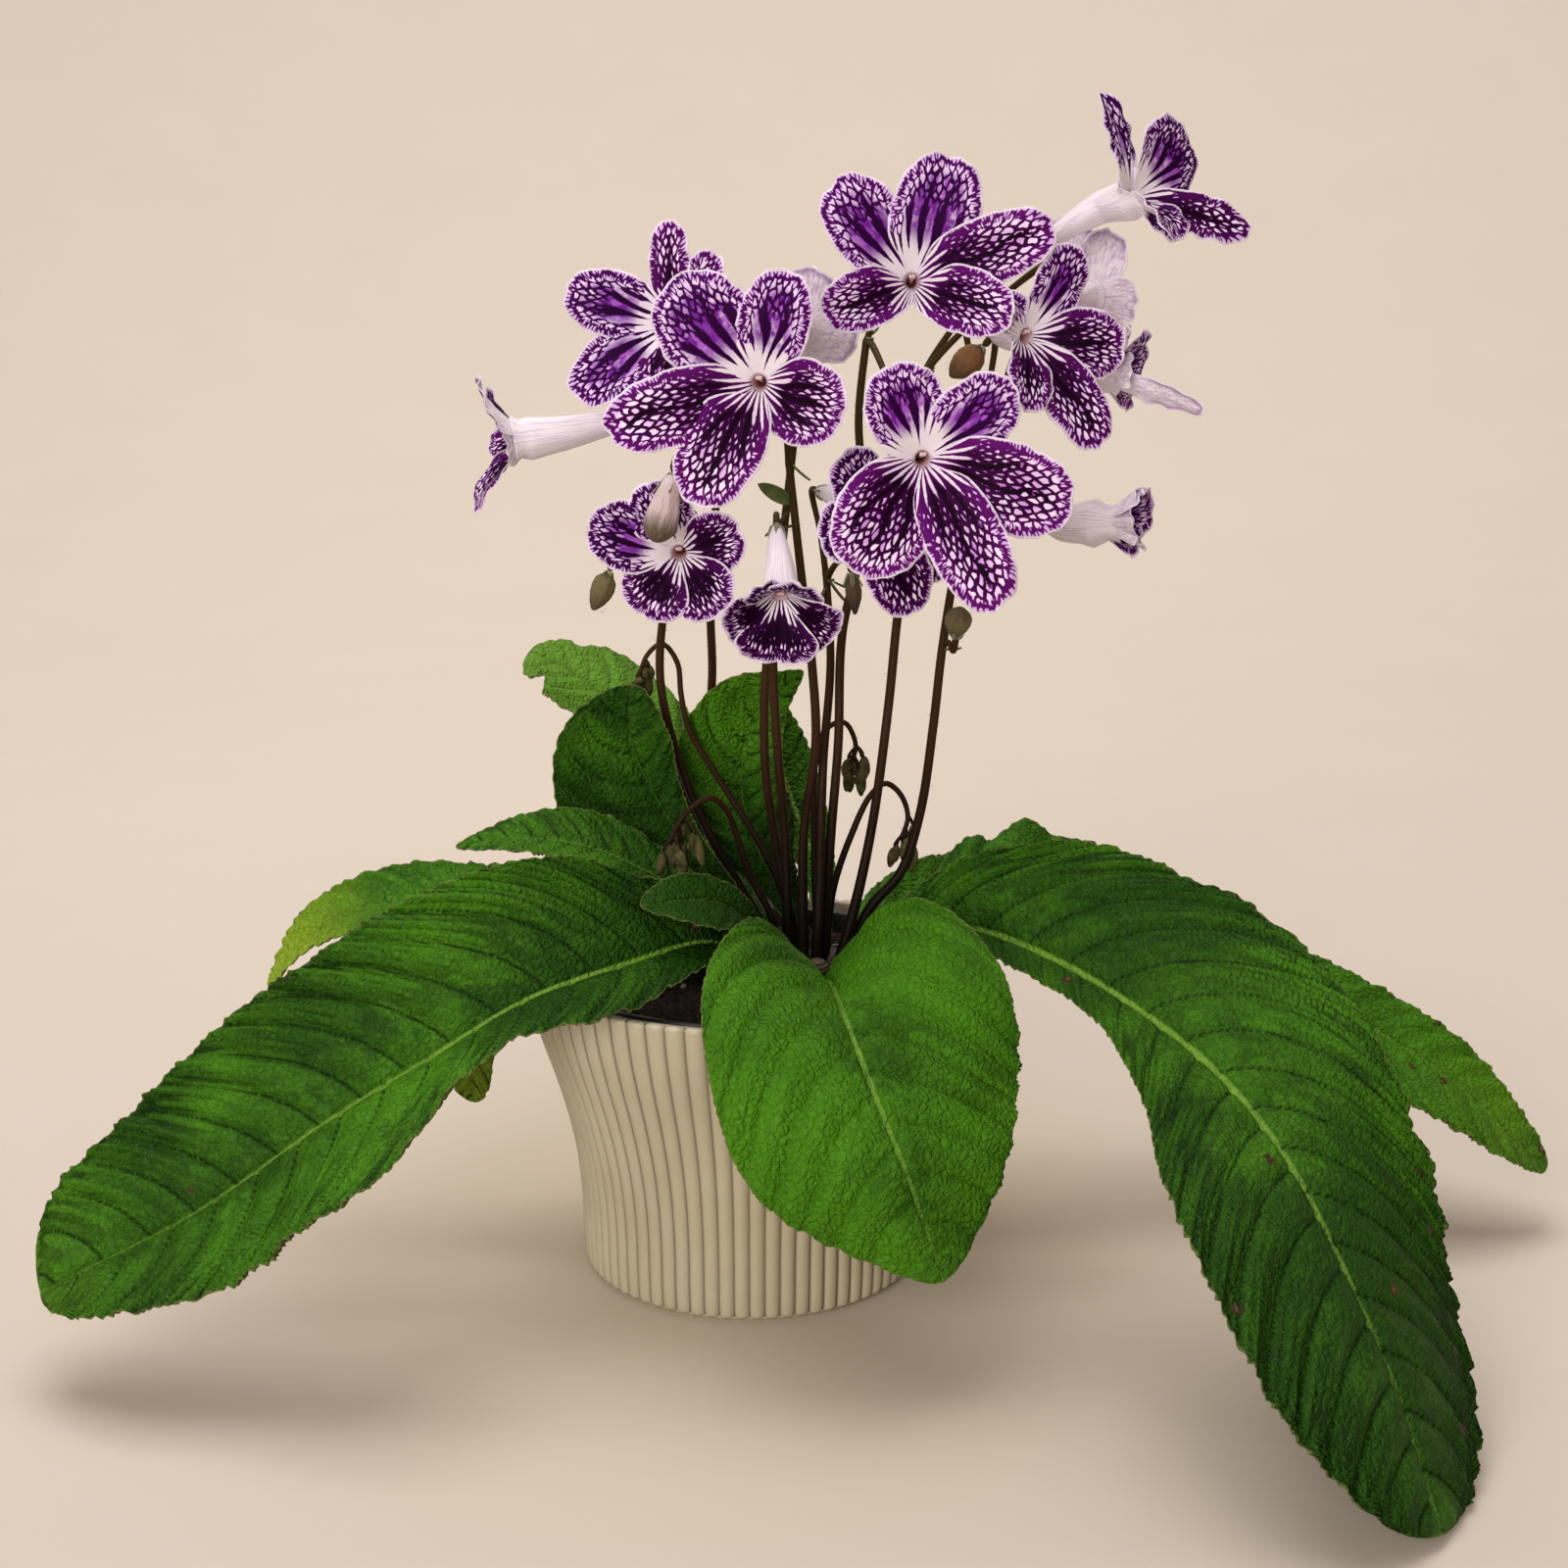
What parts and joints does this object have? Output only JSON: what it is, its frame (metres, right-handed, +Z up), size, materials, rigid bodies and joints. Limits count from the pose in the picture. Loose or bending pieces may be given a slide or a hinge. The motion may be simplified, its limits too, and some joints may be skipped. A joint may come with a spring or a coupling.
{
  "type": "cape primrose in pot",
  "caption": "Flowering cape primrose with arching quilted leaves and netted purple flowers on slender stalks, standing in a ribbed cream cover pot",
  "frame": {"origin": "middle of the cover pot's underside, on the surface it stands on", "axes": "+Z up, +X to the right from leaf tip to leaf tip, the front of the plant faces -Y"},
  "size_m": [0.3941, 0.2342, 0.3049],
  "materials": {
    "pot_glaze": "satin cream glaze",
    "liner_plastic": "matt black moulded plastic",
    "soil": "damp crumbly peat",
    "crown": "rough brown rootstock",
    "leaf": "quilted, softly hairy green leaf",
    "stalk": "olive brown to maroon stem",
    "petal": "satin petal, white with a purple net",
    "bud": "downy olive bud"
  },
  "bodies": {
    "root": {"cover_pot": "pot_glaze", "nursery_pot": "liner_plastic", "soil": "soil", "crown": "crown", "leaf_front_left": "leaf", "leaf_front": "leaf", "leaf_front_right": "leaf", "leaf_back_left": "leaf", "leaf_left_low": "leaf", "leaf_left_short": "leaf", "leaf_upright_left": "leaf", "leaf_upright_back": "leaf", "leaf_far_left": "leaf", "leaf_back_small": "leaf", "leaf_left_young": "leaf", "leaf_back_right": "leaf", "leaf_right_curled": "leaf", "flower_low_right": "petal", "flower_left": "petal", "flower_top": "petal", "flower_left_behind": "petal", "flower_right": "petal", "flower_top_right": "petal", "flower_low_left": "petal", "flower_nodding": "petal", "flower_far_left": "petal", "flower_behind_low": "petal", "flower_opening": "petal", "flower_far_right": "petal", "flower_back": "petal", "flower_back_right": "petal", "stalk_far_left": "stalk", "stalk_left": "stalk", "stalk_front_left": "stalk", "stalk_middle": "stalk", "stalk_front": "stalk", "stalk_top": "stalk", "stalk_right": "stalk", "stalk_far_right": "stalk", "stalk_back": "stalk", "hook_front_left": "stalk", "hook_right": "stalk", "hook_back": "stalk", "hook_back_left": "stalk", "bud_pale": "bud", "bud_low_left": "bud", "bud_dry": "bud", "bud_top_right": "bud", "bud_calyx": "bud"}
  },
  "joints": []
}
